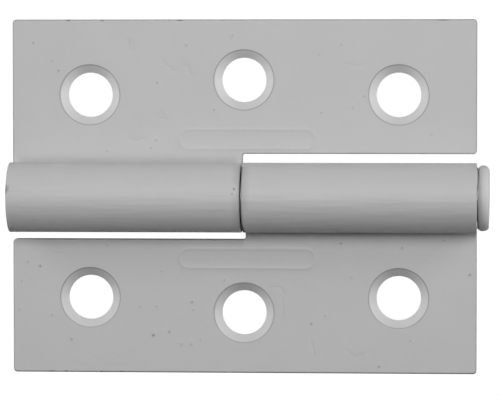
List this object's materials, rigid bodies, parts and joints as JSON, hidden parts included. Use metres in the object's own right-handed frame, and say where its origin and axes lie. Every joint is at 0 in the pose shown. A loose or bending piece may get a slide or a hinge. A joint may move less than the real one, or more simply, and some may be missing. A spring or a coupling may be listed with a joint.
{
  "type": "lift-off hinge",
  "caption": "Handed lift-off hinge: two alike stamped steel leaves with half-length rolled knuckles on one headed pin, countersunk screw holes, grey paint.",
  "frame": {"origin": "middle of the hinge's box, on the plane of the leaves' backs, with the hinge lying open and flat", "axes": "+X along the pin towards its head, +Y from the pin towards the lift-off leaf's outer edge, +Z out of the leaves' countersunk fronts"},
  "size_m": [0.0772, 0.0572, 0.0112],
  "materials": {
    "leaf_paint": "semi-matte light grey paint on stamped steel",
    "pin_paint": "the same grey paint on the pin's head, bare turned steel on its shank"
  },
  "bodies": {
    "pin_leaf": {"pin_leaf": "leaf_paint"},
    "hinge_pin": {"hinge_pin": "pin_paint"},
    "lift_off_leaf": {"lift_off_leaf": "leaf_paint"}
  },
  "joints": [
    {"name": "swing", "type": "hinge", "parent": "pin_leaf", "child": "hinge_pin", "pos_m": [-0.00105, 0, 0.0056], "axis": [1, 0, 0], "range_deg": [-100, 190]},
    {"name": "lift_off", "type": "slide", "parent": "hinge_pin", "child": "lift_off_leaf", "axis": [-1, 0, 0], "range_m": [0, 0.04]}
  ]
}
